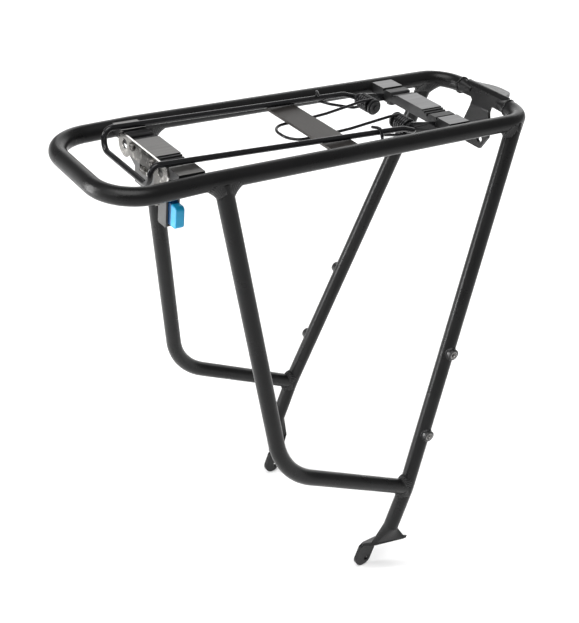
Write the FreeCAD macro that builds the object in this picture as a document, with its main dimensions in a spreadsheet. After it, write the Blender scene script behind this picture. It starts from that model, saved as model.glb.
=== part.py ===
import FreeCAD, Part
import math
import os

import Sketcher
from FreeCAD import Placement, Rotation, Vector

# Rear rack for a bicycle, in millimetres.
# Frame: +X forward (the way the bicycle rides), +Y to its left, +Z up.
# Origin: midway between the two dropout eyelets that the feet are bolted to.

os.makedirs("parts", exist_ok=True)
doc = FreeCAD.newDocument("rear_rack")

# ---------------------------------------------------------------- driving dimensions
# Names that end in _x and _z are places in the rack's frame. Names that end in _up are
# heights above the centreline of the deck tube. Names that end in _half are distances
# from the middle plane of the rack.

DIMENSIONS = [
    ("tube_dia", 13.0), ("tube_wall", 2.0),
    ("deck_z", 401.3), ("deck_half", 53.65), ("deck_front_x", 122.4), ("deck_rear_x", -247.3),
    ("front_bend", 25.0), ("rear_bend", 31.0), ("deck_end_half", 28.2),
    ("tail_start_x", -180.0), ("tail_drop", 2.3), ("tail_blend", 300.0),
    ("upright_x", -166.9),
    ("corner_x", -113.5), ("corner_half", 85.6), ("corner_z", 149.4), ("corner_bend", 62.0),
    ("leg_x", 105.7), ("knee_x", 21.4), ("knee_half", 90.3), ("knee_z", 85.7), ("knee_bend", 80.0),
    ("shank_x", 10.33), ("shank_half", 91.0), ("shank_z", 45.57), ("cope_start", 2.5),
    ("boss_dia", 10.0), ("boss_reach", 9.0), ("boss_root", 1.5), ("boss_bore", 4.2),
    ("high_boss_z", 211.4), ("low_boss_z", 138.0),
    ("eyelet_half", 75.5), ("eyelet_bore", 5.5), ("tab_thick", 3.6), ("tab_wide", 16.6),
    ("tab_offset", 3.3), ("web_edge", 93.8), ("web_depth", 15.1), ("web_lean", 0.32), ("web_slope", 0.65),
    ("web_thick", 3.0), ("web_toe", 15.0), ("web_toe_half", 100.8), ("web_heel", 5.5), ("web_heel_half", 88.0),
    ("flare_toe", 12.5), ("flare_heel", 7.6), ("flare_half", 83.5),
    ("profile_length", 20.0), ("profile_up", 6.0), ("front_profile_x", 39.5),
    ("rear_profile_x", -197.0), ("profile_half", 48.5), ("land_half", 15.5), ("side_land", 34.0),
    ("profile_down", 1.8), ("screw_port", 4.4),
    ("plate_x", -71.0), ("plate_wide", 24.4), ("plate_up", 1.0), ("plate_thick", 2.0),
    ("bridge_half", 24.0), ("hanger_half", 15.4), ("hanger_neck", 10.8), ("hanger_down", 43.0), ("bridge_skin", 3.0),
    ("hanger_x", 118.3), ("ridge_x", 126.0), ("tongue_x", 144.5), ("tongue_half", 16.0), ("tongue_up", 3.0),
    ("shoulder_down", 9.0), ("cap_reach", 12.0), ("cap_tip_dia", 5.0), ("stay_hole", 6.2), ("stay_half", 6.5), ("stay_down", 35.0),
    ("wire_dia", 4.3), ("pivot_x", 15.0), ("pivot_up", 0.5), ("wire_end_half", 10.6),
    ("pivot_clear", 0.05), ("bail_front_half", 38.4), ("bail_rear_half", 34.0),
    ("bail_rear_x", -210.0), ("bail_rear_up", 9.2), ("bail_bar_x", -211.0), ("bail_bar_up", -5.6),
    ("bail_knee_x", 2.0), ("bail_knee_up", 4.4),
    ("spring_wire", 2.3), ("coil_mean", 5.2), ("coil_start", 17.1), ("coil_turns", 5.5), ("coil_pitch", 2.36),
    ("loop_reach", 12.5), ("hook_x", -22.0), ("hook_clear", 0.5),
    ("bush_dia", 7.4), ("bush_from", 14.8), ("bush_to", 31.0), ("flange_dia", 12.6), ("flange_thick", 1.6),
    ("cap_dia", 9.6), ("cap_thick", 1.8),
    ("lug_half", 31.4), ("lug_thick", 2.0), ("lug_eye", 10.0), ("lug_foot_in", 23.0),
    ("rivet_dia", 4.0), ("rivet_head", 7.0), ("rivet_head_tall", 1.6), ("rivet_bite", 4.5),
    ("bracket_thick", 1.5), ("bracket_up", 6.2), ("bracket_waist_down", 6.2), ("bracket_ear", 19.0),
    ("lamp_hole_half", 26.0), ("lamp_hole", 7.4), ("lamp_hole_up", -0.6),
    ("strap_half", 20.6), ("strap_wide", 5.6), ("strap_down", 25.0),
    ("screw_half", 14.5), ("screw_up", 1.5), ("screw_dia", 5.0), ("screw_head", 6.4), ("screw_length", 9.0),
    ("case_rear_x", -197.0), ("case_length", 10.5), ("case_wall", 1.5), ("case_roof", 7.0), ("case_far", 13.0), ("case_shoulder_down", 8.2),
    ("case_near", -33.0), ("case_step", -22.0), ("case_down", 24.0), ("case_lobe_down", 39.5),
    ("button_out", -43.6), ("button_in", -29.5), ("button_wide", 6.9), ("button_top", -20.5),
    ("button_bottom", -37.0), ("button_neck_top", -7.6),
    ("bar_wide", 4.5), ("bar_tall", 3.5), ("bar_up", -11.4), ("bar_far", 4.0), ("button_travel", 5.0),
    ("tooth_near", -10.5), ("tooth_wide", 11.0), ("tooth_tall", 3.0), ("tooth_up", -10.3), ("tooth_reach", 3.4),
    ("return_wire", 0.7), ("return_mean", 2.2), ("return_up", -17.0), ("return_far", -14.0),
]

sheet = doc.addObject("Spreadsheet::Sheet", "Dims")
for row, (alias, value) in enumerate(DIMENSIONS, start=1):
    sheet.set(f"A{row}", alias)
    sheet.set(f"B{row}", str(value))
    sheet.setAlias(f"B{row}", alias)
doc.recompute()
D = {alias: float(sheet.get(alias)) for alias, _ in DIMENSIONS}

Y_AXIS = Vector(0, 1, 0)
X_AXIS = Vector(1, 0, 0)
Z_AXIS = Vector(0, 0, 1)
NODES = []


# ---------------------------------------------------------------- shared helpers
def node(item, label):
    """Give a finished sub-part its name and put it on the list of parts to write."""
    item.Label = label
    NODES.append(item)
    return item


def on_deck(x, y, up):
    """A point given by its height above the deck tube's centreline."""
    return Vector(x, y, D["deck_z"] + up)


def feature(name, shape):
    item = doc.addObject("Part::Feature", name)
    item.Shape = shape
    return item


def cut(name, base, *tools):
    result = base
    for count, tool in enumerate(tools):
        step = doc.addObject("Part::Cut", f"{name}_{count}")
        step.Base, step.Tool = result, tool
        result = step
    return result


def fuse(name, *pieces):
    joined = doc.addObject("Part::MultiFuse", name)
    joined.Shapes = list(pieces)
    joined.Refine = True
    return joined


def mirrored(source, label):
    """The same sub-part on the other side of the middle plane."""
    other = doc.addObject("Part::Mirroring", label)
    other.Source = source
    other.Normal = Y_AXIS
    return node(other, label)


def cylinder(name, radius, height, base, axis):
    """A cylinder whose radius and height are expressions in the sheet's names."""
    item = doc.addObject("Part::Cylinder", name)
    item.setExpression("Radius", radius)
    item.setExpression("Height", height)
    item.Placement = Placement(base, Rotation(Z_AXIS, axis))
    return item


def rounded_path(points, radii):
    """Straight runs joined by tangent arcs, one radius for each inner point."""
    edges = []
    start = points[0]
    for before, corner, after, radius in zip(points, points[1:], points[2:], radii):
        back = (before - corner).normalize()
        ahead = (after - corner).normalize()
        half_angle = back.getAngle(ahead) / 2
        setback = radius / math.tan(half_angle)
        inward = (back + ahead).normalize()
        arc_from = corner + back * setback
        arc_to = corner + ahead * setback
        arc_middle = corner + inward * (radius / math.sin(half_angle) - radius)
        if (arc_from - start).Length > 0.01:
            edges.append(Part.LineSegment(start, arc_from).toShape())
        edges.append(Part.Arc(arc_from, arc_middle, arc_to).toShape())
        start = arc_to
    if (points[-1] - start).Length > 0.01:
        edges.append(Part.LineSegment(start, points[-1]).toShape())
    return Part.Wire(edges)


def sweep(name, path, radius):
    """A round section swept along a path. radius is an expression in the sheet's names."""
    spine = feature(f"{name}_path", path)
    first = path.Edges[0]
    tangent = first.tangentAt(first.FirstParameter)
    section = doc.addObject("Part::Circle", f"{name}_section")
    section.setExpression("Radius", radius)
    section.Placement = Placement(first.valueAt(first.FirstParameter), Rotation(Z_AXIS, tangent))
    swept = doc.addObject("Part::Sweep", f"{name}_sweep")
    swept.Sections = [section]
    swept.Spine = (spine, [f"Edge{i + 1}" for i in range(len(path.Edges))])
    swept.Solid = True
    swept.Frenet = False
    return swept


OUTER = "Dims.tube_dia / 2"
BORE = "Dims.tube_dia / 2 - Dims.tube_wall"


def origin_plane(body, role):
    return next(item for item in body.Origin.OriginFeatures if item.Role == role)


def new_body(name, x="0", y="0", z="0"):
    body = doc.addObject("PartDesign::Body", name)
    for letter, expression in zip("xyz", (x, y, z)):
        body.setExpression(f"Placement.Base.{letter}", expression)
    return body


def sketch_on(body, name, role):
    sketch = body.newObject("Sketcher::SketchObject", name)
    sketch.AttachmentSupport = [(origin_plane(body, role), "")]
    sketch.MapMode = "FlatFace"
    return sketch


def add_outline(sketch, corners):
    """A closed outline of straight lines; each corner is a pair of expressions."""
    first = len(sketch.Geometry)
    total = len(corners)
    for i in range(total):
        here = 2 * math.pi * i / total
        there = 2 * math.pi * (i + 1) / total
        sketch.addGeometry(Part.LineSegment(Vector(math.cos(here), math.sin(here), 0),
                                            Vector(math.cos(there), math.sin(there), 0)), False)
    for i in range(total):
        sketch.addConstraint(Sketcher.Constraint("Coincident", first + i, 2, first + (i + 1) % total, 1))
    for i, (across, along) in enumerate(corners):
        for kind, expression in (("DistanceX", across), ("DistanceY", along)):
            index = sketch.addConstraint(Sketcher.Constraint(kind, -1, 1, first + i, 1, 1.0))
            sketch.setExpression(f"Constraints[{index}]", expression)


def add_hole(sketch, across, along, diameter):
    """A circle whose centre and diameter are expressions."""
    index = sketch.addGeometry(Part.Circle(Vector(1, 1, 0), Z_AXIS, 1.0), False)
    for kind, expression in (("DistanceX", across), ("DistanceY", along)):
        count = sketch.addConstraint(Sketcher.Constraint(kind, -1, 1, index, 3, 1.0))
        sketch.setExpression(f"Constraints[{count}]", expression)
    count = sketch.addConstraint(Sketcher.Constraint("Diameter", index, 1.0))
    sketch.setExpression(f"Constraints[{count}]", diameter)


def pad(body, sketch, length, symmetric=False, backwards=False):
    item = body.newObject("PartDesign::Pad", f"{sketch.Name}_pad")
    item.Profile = sketch
    item.setExpression("Length", length)
    if symmetric:
        item.SideType = "Symmetric"
    item.Reversed = backwards
    return item


def pocket(body, sketch):
    """Cut a sketch right through the body, both ways."""
    doc.recompute()
    before = body.Shape.Volume
    item = body.newObject("PartDesign::Pocket", f"{sketch.Name}_pocket")
    item.Profile = sketch
    item.Type = "ThroughAll"
    item.Midplane = True
    doc.recompute()
    if not 0 < item.Shape.Volume < before:
        raise RuntimeError(f"{sketch.Name} cut nothing")
    return item


def round_edges(body, base, radius, chosen):
    """Fillet the edges of the body's last feature that the test picks."""
    doc.recompute()
    names = [f"Edge{i + 1}" for i, edge in enumerate(base.Shape.Edges) if chosen(edge)]
    if not names:
        raise RuntimeError(f"no edges to round on {body.Name}")
    item = body.newObject("PartDesign::Fillet", f"{base.Name}_round")
    item.Base = (base, names)
    item.Radius = radius
    doc.recompute()
    return item


def runs_along(edge, axis):
    """True for a straight edge that lies along the axis."""
    if edge.Curve.TypeId != "Part::GeomLine":
        return False
    ends = edge.Vertexes[1].Point - edge.Vertexes[0].Point
    return abs(abs(ends.normalize() * axis) - 1) < 1e-6


# ---------------------------------------------------------------- tube frame
def deck_path():
    """The deck loop, open at the front, where the bridge closes it. Its tail dips a little."""
    side, end = D["deck_half"], D["deck_end_half"]
    half = [
        on_deck(D["deck_front_x"], end, 0),
        on_deck(D["deck_front_x"], side, 0),
        on_deck(D["tail_start_x"], side, 0),
        on_deck(D["deck_rear_x"], side, -D["tail_drop"]),
    ]
    other_half = [Vector(p.x, -p.y, p.z) for p in reversed(half)]
    bends = [D["front_bend"], D["tail_blend"], D["rear_bend"]]
    return rounded_path(half + other_half, bends + bends[::-1])


def towards(start, goal, distance):
    return start + (goal - start).normalize() * distance


def side_path():
    """Upright from the deck down to the corner, then the rail forward to the leg."""
    corner = Vector(D["corner_x"], D["corner_half"], D["corner_z"])
    deck = on_deck(D["upright_x"], D["deck_half"], 0)
    knee = Vector(D["knee_x"], D["knee_half"], D["knee_z"])
    ends = [towards(deck, corner, D["cope_start"]), towards(knee, corner, D["cope_start"])]
    return rounded_path([ends[0], corner, ends[1]], [D["corner_bend"]])


def leg_path():
    """Leg from the front of the deck down through the knee to the foot."""
    knee = Vector(D["knee_x"], D["knee_half"], D["knee_z"])
    top = towards(on_deck(D["leg_x"], D["deck_half"], 0), knee, D["cope_start"])
    end = Vector(D["shank_x"], D["shank_half"], D["shank_z"])
    return rounded_path([top, knee, end], [D["knee_bend"]])


def leg_axis_at(height):
    """The point of the leg's centreline at a height between the knee and the deck."""
    share = (height - D["knee_z"]) / (D["deck_z"] - D["knee_z"])
    low = Vector(D["knee_x"], D["knee_half"], D["knee_z"])
    high = on_deck(D["leg_x"], D["deck_half"], 0)
    return low + (high - low) * share


deck_outer = sweep("deck_outer", deck_path(), OUTER)
deck_bore = sweep("deck_bore", deck_path(), BORE)
node(cut("deck_loop", deck_outer, deck_bore), "deck_loop")

boss_blanks = {}
boss_bores = {}
for level in ("high", "low"):
    root = leg_axis_at(D[f"{level}_boss_z"]) + Vector(0, D["boss_root"], 0)
    length = "Dims.boss_reach - Dims.boss_root"
    boss_blanks[level] = cylinder(f"{level}_boss_blank", "Dims.boss_dia / 2", length, root, Y_AXIS)
    boss_bores[level] = cylinder(f"{level}_boss_bore", "Dims.boss_bore / 2", length, root, Y_AXIS)

leg_outer = sweep("leg_outer", leg_path(), OUTER)
leg_bore = sweep("leg_bore", leg_path(), BORE)
leg_left = node(cut("leg", leg_outer, leg_bore, deck_outer, *boss_blanks.values()), "leg_left")
leg_right = mirrored(leg_left, "leg_right")

side_outer = sweep("side_outer", side_path(), OUTER)
side_bore = sweep("side_bore", side_path(), BORE)
side_left = node(cut("side", side_outer, side_bore, deck_outer, leg_outer), "side_tube_left")
side_right = mirrored(side_left, "side_tube_right")

for level in ("high", "low"):
    boss = node(cut(f"{level}_boss", boss_blanks[level], boss_bores[level]), f"{level}_boss_left")
    mirrored(boss, f"{level}_boss_right")


# ---------------------------------------------------------------- feet
def foot_frame():
    """Placement whose X is forward across the leg, Y outward and Z down along the shank."""
    down = (Vector(D["shank_x"], 0, D["shank_z"]) - Vector(D["knee_x"], 0, D["knee_z"])).normalize()
    forward = Vector(-down.z, 0, down.x)
    base = Vector(D["shank_x"], 0, D["shank_z"])
    return Placement(FreeCAD.Matrix(forward.x, 0, down.x, base.x,
                                    0, -1, 0, 0,
                                    forward.z, 0, down.z, base.z,
                                    0, 0, 0, 1))


def foot_shape():
    """Shank end flared onto a web, which slopes down and inward to the eyelet tab.

    The work is done in the foot's own frame, where Y is measured towards the right, so
    that every distance from the middle plane is negative.
    """
    frame = foot_frame()
    eye = frame.inverse().multVec(Vector(0, D["eyelet_half"], 0))
    shank = -D["shank_half"]
    round_radius = D["tube_dia"] / 2
    thick, radius = D["tab_thick"], D["tab_wide"] / 2
    inner, outer = eye.y + thick / 2, eye.y - thick / 2
    tab_x = eye.x - D["tab_offset"]

    def on_web(across, outward):
        """The point of the web's upper face at a place seen along the shank."""
        return Vector(across, outward, D["web_depth"] - D["web_lean"] * across
                      + D["web_slope"] * (outward + D["web_edge"]))

    diagonals = [Vector(math.cos(a), math.sin(a), 0) * round_radius + Vector(0, shank, 0)
                 for a in (math.radians(45 + 90 * k) for k in range(4))]
    middles = [Vector(math.cos(a), math.sin(a), 0) * round_radius + Vector(0, shank, 0)
               for a in (math.radians(90 + 90 * k) for k in range(4))]
    ring = Part.Wire([Part.Arc(diagonals[k], middles[k], diagonals[(k + 1) % 4]).toShape()
                      for k in range(4)])
    heel = on_web(-D["web_heel"], -D["web_heel_half"])
    toe = on_web(D["web_toe"], -D["web_toe_half"])
    corners = [on_web(D["flare_toe"], -D["flare_half"]), on_web(-D["flare_heel"], -D["flare_half"]),
               heel + Vector(0.4, 0.4, 0), toe + Vector(-1.2, 0.6, 0)]
    sunk = [on_web(corner.x, corner.y) + Vector(0, 0, D["web_thick"] / 2) for corner in corners]
    flare = Part.makeLoft([ring, Part.makePolygon(sunk + sunk[:1])], True, True)

    plan = [heel, toe - Vector(2, -1.33, 0), toe + Vector(0.6, 1, 0), toe + Vector(0.8, 3, 0),
            on_web(D["flare_toe"], -D["flare_half"]), on_web(tab_x + radius, outer),
            on_web(tab_x + radius, inner), on_web(tab_x - radius + 3, inner), on_web(tab_x - radius, outer),
            on_web(-D["flare_heel"], -D["flare_half"])]
    plan = [on_web(corner.x, corner.y) for corner in plan]
    web = Part.Face(Part.makePolygon(plan + plan[:1])).extrude(Vector(0, 0, D["web_thick"]))
    heel_top = on_web(tab_x - radius + 3, inner).z
    toe_top = on_web(tab_x + radius, inner).z
    strap_plan = [Vector(tab_x - radius + 3, outer, heel_top), Vector(tab_x + radius, outer, toe_top),
                  Vector(tab_x + radius, outer, eye.z), Vector(tab_x - radius, outer, eye.z),
                  Vector(tab_x - radius, outer, heel_top + 4)]
    strap = Part.Face(Part.makePolygon(strap_plan + strap_plan[:1])).extrude(Vector(0, thick, 0))
    rounding = Part.makeCylinder(radius, thick, Vector(tab_x, outer, eye.z), Y_AXIS)
    eyelet = Part.makeCylinder(D["eyelet_bore"] / 2, 4 * thick, Vector(eye.x, outer - 2 * thick, eye.z), Y_AXIS)
    return flare.multiFuse([web, strap, rounding]).removeSplitter().cut(eyelet)


foot_left = feature("foot", foot_shape())
foot_left.Placement = foot_frame()
foot_left = node(foot_left, "foot_left")
foot_right = mirrored(foot_left, "foot_right")


# ---------------------------------------------------------------- front bridge
def front_bridge():
    """Pressed sheet between the deck tube's ends: tongue, ridge, slope and hanger plate."""
    body = new_body("bridge", z="Dims.deck_z")
    side = sketch_on(body, "bridge_side", "XZ_Plane")
    skin = "Dims.bridge_skin"
    add_outline(side, [
        ("Dims.tongue_x", "Dims.tongue_up"),
        ("Dims.ridge_x", "Dims.tube_dia / 2"),
        ("Dims.ridge_x - 3", "Dims.tube_dia / 2"),
        ("Dims.hanger_x", "-Dims.shoulder_down"),
        ("Dims.hanger_x", "-Dims.hanger_down"),
        (f"Dims.hanger_x + {skin}", "-Dims.hanger_down"),
        (f"Dims.hanger_x + {skin}", "-Dims.shoulder_down - 0.6"),
        (f"Dims.ridge_x - 1.2", f"Dims.tube_dia / 2 - {skin}"),
        ("Dims.tongue_x", f"Dims.tongue_up - {skin}"),
    ])
    sheet_pad = pad(body, side, "2 * Dims.bridge_half", symmetric=True)
    bends = round_edges(body, sheet_pad, 4.0, lambda e: runs_along(e, Y_AXIS) and (
        abs(e.CenterOfMass.x - D["ridge_x"] + 3) < 0.1 or abs(e.CenterOfMass.x - D["hanger_x"]) < 0.1
        and e.CenterOfMass.z > -D["hanger_down"] + 1))
    front = sketch_on(body, "bridge_front", "YZ_Plane")
    for sign in ("", "-"):
        add_outline(front, [
            (f"{sign}(Dims.hanger_half - 7)", "-Dims.hanger_down - 5"),
            (f"{sign}(Dims.hanger_half - 7)", "-Dims.hanger_down"),
            (f"{sign}(Dims.hanger_half)", "-Dims.stay_down + 4"),
            (f"{sign}(Dims.hanger_half)", "-Dims.stay_down + 11"),
            (f"{sign}(Dims.hanger_neck + 0.3)", "-Dims.shoulder_down - 2"),
            (f"{sign}(Dims.hanger_neck)", "-Dims.shoulder_down + 2.5"),
            (f"{sign}(Dims.hanger_neck + 2.5)", "-Dims.shoulder_down + 4.4"),
            (f"{sign}(Dims.bridge_half + 5)", "-Dims.shoulder_down + 4"),
            (f"{sign}(Dims.bridge_half + 5)", "-Dims.hanger_down - 5"),
        ])
        add_hole(front, f"{sign}(Dims.stay_half)", "-Dims.stay_down", "Dims.stay_hole")
    pocket(body, front)
    top = sketch_on(body, "bridge_top", "XY_Plane")
    for sign in ("", "-"):
        add_outline(top, [
            ("Dims.ridge_x + 1", f"{sign}(Dims.bridge_half + 5)"),
            ("Dims.ridge_x + 1", f"{sign}(Dims.tongue_half + 3)"),
            ("Dims.ridge_x + 5", f"{sign}(Dims.tongue_half)"),
            ("Dims.tongue_x - 6.5", f"{sign}(Dims.tongue_half - 3.5)"),
            ("Dims.tongue_x - 2.5", f"{sign}(Dims.tongue_half - 6.5)"),
            ("Dims.tongue_x", f"{sign}(Dims.tongue_half - 11)"),
            ("Dims.tongue_x + 5", f"{sign}(Dims.tongue_half - 11)"),
            ("Dims.tongue_x + 5", f"{sign}(Dims.bridge_half + 5)"),
        ])
    last = pocket(body, top)
    body.Tip = last
    return body


bridge_sheet = front_bridge()
bridge_caps = []
for name, side in (("left", 1), ("right", -1)):
    tip = on_deck(D["deck_front_x"], side * D["deck_end_half"], 0)
    plug = doc.addObject("Part::Cone", f"bridge_cap_{name}")
    plug.setExpression("Radius1", "Dims.tube_dia / 2")
    plug.setExpression("Radius2", "Dims.cap_tip_dia / 2")
    plug.setExpression("Height", "Dims.cap_reach")
    plug.Placement = Placement(tip, Rotation(Z_AXIS, Y_AXIS * -side))
    bridge_caps.append(plug)
node(fuse("bridge_joined", bridge_sheet, *bridge_caps), "front_bridge")


# ---------------------------------------------------------------- cross members
def half_profile():
    """Right-hand half of the extrusion's section, from the bottom middle to the top middle."""
    up, land, side = "Dims.profile_up", "Dims.land_half", "Dims.side_land"
    return [
        ("Dims.profile_half", "-Dims.profile_down"),
        ("Dims.profile_half", up),
        (side, up),
        (f"{side} - 0.3", f"{up} - 2.2"),
        (f"{side} - 1.5", f"{up} - 2.2"),
        (f"{side} - 2", f"{up} - 0.9"),
        (f"{side} - 2.8", f"{up} - 0.5"),
        (f"{side} - 9.4", f"{up} - 0.5"),
        (f"{side} - 10.4", f"{up} - 1"),
        (f"{side} - 10.8", f"{up} - 3.4"),
        (f"{side} - 12.8", f"{up} - 3.4"),
        (f"{side} - 13.2", f"{up} - 1.4"),
        (f"{land} + 4", f"{up} - 1.2"),
        (f"{land} + 3.7", f"{up} - 2.2"),
        (f"{land} + 2.7", f"{up} - 2.2"),
        (f"{land} + 2.4", f"{up} - 0.6"),
        (f"{land} + 1", f"{up} - 0.6"),
        (f"{land} + 0.7", f"{up} - 1"),
        (f"{land} + 0.1", f"{up} - 1"),
        (land, up),
    ]


def cross_profile(name, place_x, drills, ported):
    """One length of the deck extrusion, coped to the tubes. A ported one takes the plate's screws."""
    body = new_body(f"{name}_body", x=place_x, z="Dims.deck_z")
    section = sketch_on(body, f"{name}_section", "YZ_Plane")
    right = half_profile()
    left = [(f"-({across})", along) for across, along in reversed(right)]
    add_outline(section, right + left)
    body.Tip = pad(body, section, "Dims.profile_length")
    if ported:
        ports = sketch_on(body, f"{name}_ports", "YZ_Plane")
        for sign in ("", "-"):
            add_hole(ports, f"{sign}(Dims.screw_half)", "Dims.screw_up", "Dims.screw_port")
        body.Tip = pocket(body, ports)
    return node(cut(name, body, deck_outer, *drills), name)


def middle_plate():
    body = new_body("middle_plate_body", x="Dims.plate_x", z="Dims.deck_z")
    outline = sketch_on(body, "middle_plate_outline", "YZ_Plane")
    add_outline(outline, [
        ("-Dims.deck_half", "Dims.plate_up"), ("Dims.deck_half", "Dims.plate_up"),
        ("Dims.deck_half", "Dims.plate_up + Dims.plate_thick"),
        ("-Dims.deck_half", "Dims.plate_up + Dims.plate_thick"),
    ])
    body.Tip = pad(body, outline, "Dims.plate_wide")
    return node(cut("middle_plate", body, deck_outer), "middle_cross_plate")


# Drive rivets go up through the hinge lugs' feet and bite in the front extrusion's ridge.
rivet_spots = [on_deck(D["front_profile_x"] + ahead, D["lug_foot_in"] + 4.2, 0) for ahead in (4.5, 12.5)]
rivet_shanks = []
rivet_heads = []
for count, spot in enumerate(rivet_spots):
    under = spot + Vector(0, 0, -D["profile_down"] - D["lug_thick"])
    rivet_shanks.append(cylinder(f"lug_rivet_shank_{count}", "Dims.rivet_dia / 2",
                                 "Dims.lug_thick + Dims.rivet_bite", under, Z_AXIS))
    rivet_heads.append(cylinder(f"lug_rivet_head_{count}", "Dims.rivet_head / 2", "Dims.rivet_head_tall",
                                under - Vector(0, 0, D["rivet_head_tall"]), Z_AXIS))

# Self-tapping screws bite in the rear extrusion's ports.
screw_shanks = []
screw_heads = []
for side in (1, -1):
    seat = on_deck(D["rear_profile_x"] - D["bracket_thick"], side * D["screw_half"], D["screw_up"])
    screw_shanks.append(cylinder(f"screw_shank_{len(screw_shanks)}", "Dims.screw_dia / 2",
                                 "Dims.screw_length", seat, X_AXIS))
    screw_heads.append(cylinder(f"screw_head_{len(screw_heads)}", "Dims.screw_head / 2", "Dims.rivet_head_tall",
                                seat - X_AXIS * D["rivet_head_tall"], X_AXIS))

lug_shanks_left = fuse("lug_shanks_left", *rivet_shanks)
lug_shanks_right = doc.addObject("Part::Mirroring", "lug_shanks_right")
lug_shanks_right.Source = lug_shanks_left
lug_shanks_right.Normal = Y_AXIS

cross_profile("front_cross_profile", "Dims.front_profile_x", [lug_shanks_left, lug_shanks_right], False)
cross_profile("rear_cross_profile", "Dims.rear_profile_x", screw_shanks, True)
middle_plate()


# ---------------------------------------------------------------- spring clamp
def bail_path():
    """One wire: in through the coils, back along the deck, down and across the tail."""
    half = [
        on_deck(D["pivot_x"], D["wire_end_half"], D["pivot_up"]),
        on_deck(D["pivot_x"], D["bail_front_half"], D["pivot_up"]),
        on_deck(D["bail_knee_x"], D["bail_front_half"] - 0.3, D["bail_knee_up"]),
        on_deck(D["bail_rear_x"], D["bail_rear_half"], D["bail_rear_up"]),
        on_deck(D["bail_bar_x"], D["bail_rear_half"] - 0.3, D["bail_bar_up"]),
    ]
    other_half = [Vector(p.x, -p.y, p.z) for p in reversed(half)]
    bends = [5.0, 16.0, 6.4, 7.6]
    return rounded_path(half + other_half, bends + bends[::-1])


node(sweep("bail", bail_path(), "Dims.wire_dia / 2"), "clamp_bail")


def pivot_ring(name, outer, inner, start, length):
    """A ring on the clamp's pivot. start is its inner face's distance from the middle plane."""
    blank = cylinder(f"{name}_blank", outer, length, on_deck(D["pivot_x"], start, D["pivot_up"]), Y_AXIS)
    hole = cylinder(f"{name}_hole", inner, length, on_deck(D["pivot_x"], start, D["pivot_up"]), Y_AXIS)
    return cut(name, blank, hole)


WIRE_HOLE = "Dims.wire_dia / 2 + Dims.pivot_clear"
bush = fuse(
    "spring_bush_joined",
    pivot_ring("bush_flange", "Dims.flange_dia / 2", WIRE_HOLE,
               D["bush_from"] - D["flange_thick"], "Dims.flange_thick"),
    pivot_ring("bush_sleeve", "Dims.bush_dia / 2", WIRE_HOLE,
               D["bush_from"], "Dims.bush_to - Dims.bush_from"),
)
mirrored(node(bush, "spring_bush_left"), "spring_bush_right")
end_cap = pivot_ring("end_cap", "Dims.cap_dia / 2", "Dims.wire_dia / 2",
                     D["bush_from"] - D["flange_thick"] - D["cap_thick"], "Dims.cap_thick")
mirrored(node(end_cap, "wire_end_cap_left"), "wire_end_cap_right")


def hinge_lug():
    """Steel ear that holds the bail's pivot, with a foot under the front extrusion."""
    body = new_body("lug_body", y="Dims.lug_half + Dims.lug_thick", z="Dims.deck_z")
    ear = sketch_on(body, "lug_ear", "XZ_Plane")
    foot_up = "-Dims.profile_down"
    add_outline(ear, [
        ("Dims.pivot_x", "Dims.pivot_up + Dims.lug_eye / 2"),
        ("Dims.front_profile_x - 3", "Dims.pivot_up + Dims.lug_eye / 2 - 3"),
        ("Dims.front_profile_x - 0.6", f"{foot_up} + 4"),
        ("Dims.front_profile_x - 0.6", foot_up),
        ("Dims.front_profile_x + 17", foot_up),
        ("Dims.front_profile_x + 17", f"{foot_up} - Dims.lug_thick"),
        ("Dims.front_profile_x - 4", f"{foot_up} - Dims.lug_thick"),
        ("Dims.pivot_x", "Dims.pivot_up - Dims.lug_eye / 2"),
    ])
    body.Tip = pad(body, ear, "Dims.lug_thick")
    return body


lug_eye = cylinder("lug_eye_round", "Dims.lug_eye / 2", "Dims.lug_thick",
                   on_deck(D["pivot_x"], D["lug_half"], D["pivot_up"]), Y_AXIS)
lug_foot = doc.addObject("Part::Box", "lug_foot")
lug_foot.Length = 17.0
lug_foot.setExpression("Width", "Dims.lug_half + Dims.lug_thick - Dims.lug_foot_in")
lug_foot.setExpression("Height", "Dims.lug_thick")
lug_foot.Placement.Base = on_deck(D["front_profile_x"], D["lug_foot_in"], -D["profile_down"] - D["lug_thick"])
lug_whole = fuse("lug_joined", hinge_lug(), lug_eye, lug_foot)
lug_pivot_hole = cylinder("lug_pivot_hole", WIRE_HOLE, "Dims.lug_thick",
                          on_deck(D["pivot_x"], D["lug_half"], D["pivot_up"]), Y_AXIS)

lug_left = node(cut("hinge_lug", lug_whole, lug_pivot_hole, *rivet_shanks), "hinge_lug_left")
mirrored(lug_left, "hinge_lug_right")
rivets_left = fuse("lug_rivets_joined", *rivet_shanks, *rivet_heads)
mirrored(node(rivets_left, "lug_rivets_left"), "lug_rivets_right")


def coil_arcs():
    """A close coil on the clamp's pivot, in half turns that lean alternately, each a circular
    arc. It starts at the top, going forward, and ends at the bottom, going back."""
    mean, pitch = D["coil_mean"], D["coil_pitch"]
    reach = math.hypot(mean, pitch / 4)
    arcs = []
    for half_turn in range(int(2 * D["coil_turns"])):
        side = 1 if half_turn % 2 == 0 else -1
        y = D["coil_start"] + pitch * half_turn / 2
        arcs.append(Part.Arc(
            on_deck(D["pivot_x"], y, D["pivot_up"] + side * mean),
            on_deck(D["pivot_x"] + side * reach, y + pitch / 4, D["pivot_up"]),
            on_deck(D["pivot_x"], y + pitch / 2, D["pivot_up"] - side * mean),
        ).toShape())
    return arcs


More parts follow.
